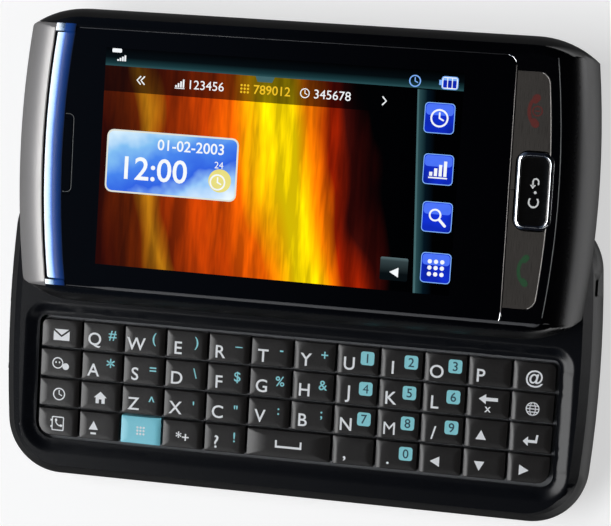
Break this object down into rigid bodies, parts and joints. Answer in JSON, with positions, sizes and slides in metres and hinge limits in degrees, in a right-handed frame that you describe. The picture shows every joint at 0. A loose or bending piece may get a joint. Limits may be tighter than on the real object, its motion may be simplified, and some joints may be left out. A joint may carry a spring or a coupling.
{
  "type": "slider phone",
  "caption": "Slim phone lying on its back, its touch display half slid sideways off a keyboard half; both halves have black rounded shells, bowed ends and sprung keys.",
  "frame": {"origin": "centre of the base's flat back, on the battery cover's outer face", "axes": "+X along the length towards the end and send keys, +Y towards the side the display half slides out to, +Z out of the display"},
  "size_m": [0.1113, 0.0875, 0.016],
  "materials": {
    "case_plastic": "dark grey moulded plastic, fine texture",
    "gloss_plastic": "piano black, polished",
    "key_plastic": "satin dark grey, printed legends",
    "silicone": "milky silicone",
    "board": "green solder mask",
    "battery_sleeve": "matt sleeve",
    "steel": "stamped steel",
    "speaker": "black mesh and frame",
    "camera_glass": "black lens surround",
    "window_glass": "glossy touch window, clear over the display",
    "display": "lit display",
    "silver_metal": "satin silver",
    "chrome": "polished",
    "flex": "amber film",
    "brushed_key": "brushed dark metal",
    "chrome_key": "bright rim, black middle"
  },
  "bodies": {
    "base": {"base_rear_case": "case_plastic", "keyboard_deck": "gloss_plastic", "main_board": "board", "key_mat": "silicone", "function_keys": "key_plastic", "battery": "battery_sleeve", "slide_carriage": "steel", "loudspeaker": "speaker", "camera_module": "camera_glass", "case_screws": "steel"},
    "slider": {"slider_back_case": "case_plastic", "front_bezel": "gloss_plastic", "slide_plate": "steel", "touch_window": "window_glass", "display_module": "display", "silver_end_cap": "silver_metal", "chrome_strip": "chrome", "earpiece": "speaker", "slide_spring": "steel", "display_flex": "flex"},
    "battery_lid": {"battery_cover": "case_plastic"},
    "port_flap": {"port_cover": "case_plastic"},
    "rocker": {"volume_rocker": "gloss_plastic"},
    "shutter": {"camera_key": "gloss_plastic"},
    "end_button": {"end_key": "brushed_key"},
    "send_button": {"send_key": "brushed_key"},
    "clear_button": {"clear_key": "chrome_key"},
    "key_q_cap": {"key_q": "key_plastic"},
    "key_w_cap": {"key_w": "key_plastic"},
    "key_e_cap": {"key_e": "key_plastic"},
    "key_r_cap": {"key_r": "key_plastic"},
    "key_t_cap": {"key_t": "key_plastic"},
    "key_y_cap": {"key_y": "key_plastic"},
    "key_u_cap": {"key_u": "key_plastic"},
    "key_i_cap": {"key_i": "key_plastic"},
    "key_o_cap": {"key_o": "key_plastic"},
    "key_p_cap": {"key_p": "key_plastic"},
    "key_a_cap": {"key_a": "key_plastic"},
    "key_s_cap": {"key_s": "key_plastic"},
    "key_d_cap": {"key_d": "key_plastic"},
    "key_f_cap": {"key_f": "key_plastic"},
    "key_g_cap": {"key_g": "key_plastic"},
    "key_h_cap": {"key_h": "key_plastic"},
    "key_j_cap": {"key_j": "key_plastic"},
    "key_k_cap": {"key_k": "key_plastic"},
    "key_l_cap": {"key_l": "key_plastic"},
    "key_z_cap": {"key_z": "key_plastic"},
    "key_x_cap": {"key_x": "key_plastic"},
    "key_c_cap": {"key_c": "key_plastic"},
    "key_v_cap": {"key_v": "key_plastic"},
    "key_b_cap": {"key_b": "key_plastic"},
    "key_n_cap": {"key_n": "key_plastic"},
    "key_m_cap": {"key_m": "key_plastic"},
    "key_delete_cap": {"key_delete": "key_plastic"},
    "key_enter_cap": {"key_enter": "key_plastic"},
    "key_space_cap": {"key_space": "key_plastic"},
    "key_up_cap": {"key_up": "key_plastic"},
    "key_down_cap": {"key_down": "key_plastic"},
    "key_left_cap": {"key_left": "key_plastic"},
    "key_right_cap": {"key_right": "key_plastic"}
  },
  "joints": [
    {"name": "slider_slide", "type": "slide", "parent": "base", "child": "slider", "axis": [0, -1, 0], "range_m": [0, 0.0326]},
    {"name": "key_q_press", "type": "slide", "parent": "base", "child": "key_q_cap", "axis": [0, 0, -1], "range_m": [0, 0.00025], "stiffness_N_per_m": 400},
    {"name": "key_w_press", "type": "slide", "parent": "base", "child": "key_w_cap", "axis": [0, 0, -1], "range_m": [0, 0.00025], "stiffness_N_per_m": 400},
    {"name": "key_e_press", "type": "slide", "parent": "base", "child": "key_e_cap", "axis": [0, 0, -1], "range_m": [0, 0.00025], "stiffness_N_per_m": 400},
    {"name": "key_r_press", "type": "slide", "parent": "base", "child": "key_r_cap", "axis": [0, 0, -1], "range_m": [0, 0.00025], "stiffness_N_per_m": 400},
    {"name": "key_t_press", "type": "slide", "parent": "base", "child": "key_t_cap", "axis": [0, 0, -1], "range_m": [0, 0.00025], "stiffness_N_per_m": 400},
    {"name": "key_y_press", "type": "slide", "parent": "base", "child": "key_y_cap", "axis": [0, 0, -1], "range_m": [0, 0.00025], "stiffness_N_per_m": 400},
    {"name": "key_u_press", "type": "slide", "parent": "base", "child": "key_u_cap", "axis": [0, 0, -1], "range_m": [0, 0.00025], "stiffness_N_per_m": 400},
    {"name": "key_i_press", "type": "slide", "parent": "base", "child": "key_i_cap", "axis": [0, 0, -1], "range_m": [0, 0.00025], "stiffness_N_per_m": 400},
    {"name": "key_o_press", "type": "slide", "parent": "base", "child": "key_o_cap", "axis": [0, 0, -1], "range_m": [0, 0.00025], "stiffness_N_per_m": 400},
    {"name": "key_p_press", "type": "slide", "parent": "base", "child": "key_p_cap", "axis": [0, 0, -1], "range_m": [0, 0.00025], "stiffness_N_per_m": 400},
    {"name": "key_a_press", "type": "slide", "parent": "base", "child": "key_a_cap", "axis": [0, 0, -1], "range_m": [0, 0.00025], "stiffness_N_per_m": 400},
    {"name": "key_s_press", "type": "slide", "parent": "base", "child": "key_s_cap", "axis": [0, 0, -1], "range_m": [0, 0.00025], "stiffness_N_per_m": 400},
    {"name": "key_d_press", "type": "slide", "parent": "base", "child": "key_d_cap", "axis": [0, 0, -1], "range_m": [0, 0.00025], "stiffness_N_per_m": 400},
    {"name": "key_f_press", "type": "slide", "parent": "base", "child": "key_f_cap", "axis": [0, 0, -1], "range_m": [0, 0.00025], "stiffness_N_per_m": 400},
    {"name": "key_g_press", "type": "slide", "parent": "base", "child": "key_g_cap", "axis": [0, 0, -1], "range_m": [0, 0.00025], "stiffness_N_per_m": 400},
    {"name": "key_h_press", "type": "slide", "parent": "base", "child": "key_h_cap", "axis": [0, 0, -1], "range_m": [0, 0.00025], "stiffness_N_per_m": 400},
    {"name": "key_j_press", "type": "slide", "parent": "base", "child": "key_j_cap", "axis": [0, 0, -1], "range_m": [0, 0.00025], "stiffness_N_per_m": 400},
    {"name": "key_k_press", "type": "slide", "parent": "base", "child": "key_k_cap", "axis": [0, 0, -1], "range_m": [0, 0.00025], "stiffness_N_per_m": 400},
    {"name": "key_l_press", "type": "slide", "parent": "base", "child": "key_l_cap", "axis": [0, 0, -1], "range_m": [0, 0.00025], "stiffness_N_per_m": 400},
    {"name": "key_z_press", "type": "slide", "parent": "base", "child": "key_z_cap", "axis": [0, 0, -1], "range_m": [0, 0.00025], "stiffness_N_per_m": 400},
    {"name": "key_x_press", "type": "slide", "parent": "base", "child": "key_x_cap", "axis": [0, 0, -1], "range_m": [0, 0.00025], "stiffness_N_per_m": 400},
    {"name": "key_c_press", "type": "slide", "parent": "base", "child": "key_c_cap", "axis": [0, 0, -1], "range_m": [0, 0.00025], "stiffness_N_per_m": 400},
    {"name": "key_v_press", "type": "slide", "parent": "base", "child": "key_v_cap", "axis": [0, 0, -1], "range_m": [0, 0.00025], "stiffness_N_per_m": 400},
    {"name": "key_b_press", "type": "slide", "parent": "base", "child": "key_b_cap", "axis": [0, 0, -1], "range_m": [0, 0.00025], "stiffness_N_per_m": 400},
    {"name": "key_n_press", "type": "slide", "parent": "base", "child": "key_n_cap", "axis": [0, 0, -1], "range_m": [0, 0.00025], "stiffness_N_per_m": 400},
    {"name": "key_m_press", "type": "slide", "parent": "base", "child": "key_m_cap", "axis": [0, 0, -1], "range_m": [0, 0.00025], "stiffness_N_per_m": 400},
    {"name": "key_delete_press", "type": "slide", "parent": "base", "child": "key_delete_cap", "axis": [0, 0, -1], "range_m": [0, 0.00025], "stiffness_N_per_m": 400},
    {"name": "key_enter_press", "type": "slide", "parent": "base", "child": "key_enter_cap", "axis": [0, 0, -1], "range_m": [0, 0.00025], "stiffness_N_per_m": 400},
    {"name": "key_space_press", "type": "slide", "parent": "base", "child": "key_space_cap", "axis": [0, 0, -1], "range_m": [0, 0.00025], "stiffness_N_per_m": 400},
    {"name": "key_up_press", "type": "slide", "parent": "base", "child": "key_up_cap", "axis": [0, 0, -1], "range_m": [0, 0.00025], "stiffness_N_per_m": 400},
    {"name": "key_down_press", "type": "slide", "parent": "base", "child": "key_down_cap", "axis": [0, 0, -1], "range_m": [0, 0.00025], "stiffness_N_per_m": 400},
    {"name": "key_left_press", "type": "slide", "parent": "base", "child": "key_left_cap", "axis": [0, 0, -1], "range_m": [0, 0.00025], "stiffness_N_per_m": 400},
    {"name": "key_right_press", "type": "slide", "parent": "base", "child": "key_right_cap", "axis": [0, 0, -1], "range_m": [0, 0.00025], "stiffness_N_per_m": 400},
    {"name": "end_key_press", "type": "slide", "parent": "slider", "child": "end_button", "axis": [0, 0, -1], "range_m": [0, 0.00025], "stiffness_N_per_m": 400},
    {"name": "clear_key_press", "type": "slide", "parent": "slider", "child": "clear_button", "axis": [0, 0, -1], "range_m": [0, 0.00025], "stiffness_N_per_m": 400},
    {"name": "send_key_press", "type": "slide", "parent": "slider", "child": "send_button", "axis": [0, 0, -1], "range_m": [0, 0.00025], "stiffness_N_per_m": 400},
    {"name": "camera_key_press", "type": "slide", "parent": "base", "child": "shutter", "axis": [0, -1, 0], "range_m": [0, 0.00025], "stiffness_N_per_m": 400},
    {"name": "volume_rocker_tilt", "type": "hinge", "parent": "base", "child": "rocker", "pos_m": [-0.017, 0.0255, 0.00495], "axis": [0, 0, 1], "range_deg": [-2, 2], "stiffness_Nm_per_rad": 0.02},
    {"name": "port_cover_swing", "type": "hinge", "parent": "base", "child": "port_flap", "pos_m": [-0.05508, 0.0028, 0.0043], "axis": [0, 0, -1], "range_deg": [0, 95]},
    {"name": "battery_cover_lift", "type": "slide", "parent": "base", "child": "battery_lid", "axis": [0, 0, -1], "range_m": [0, 0.012]}
  ]
}
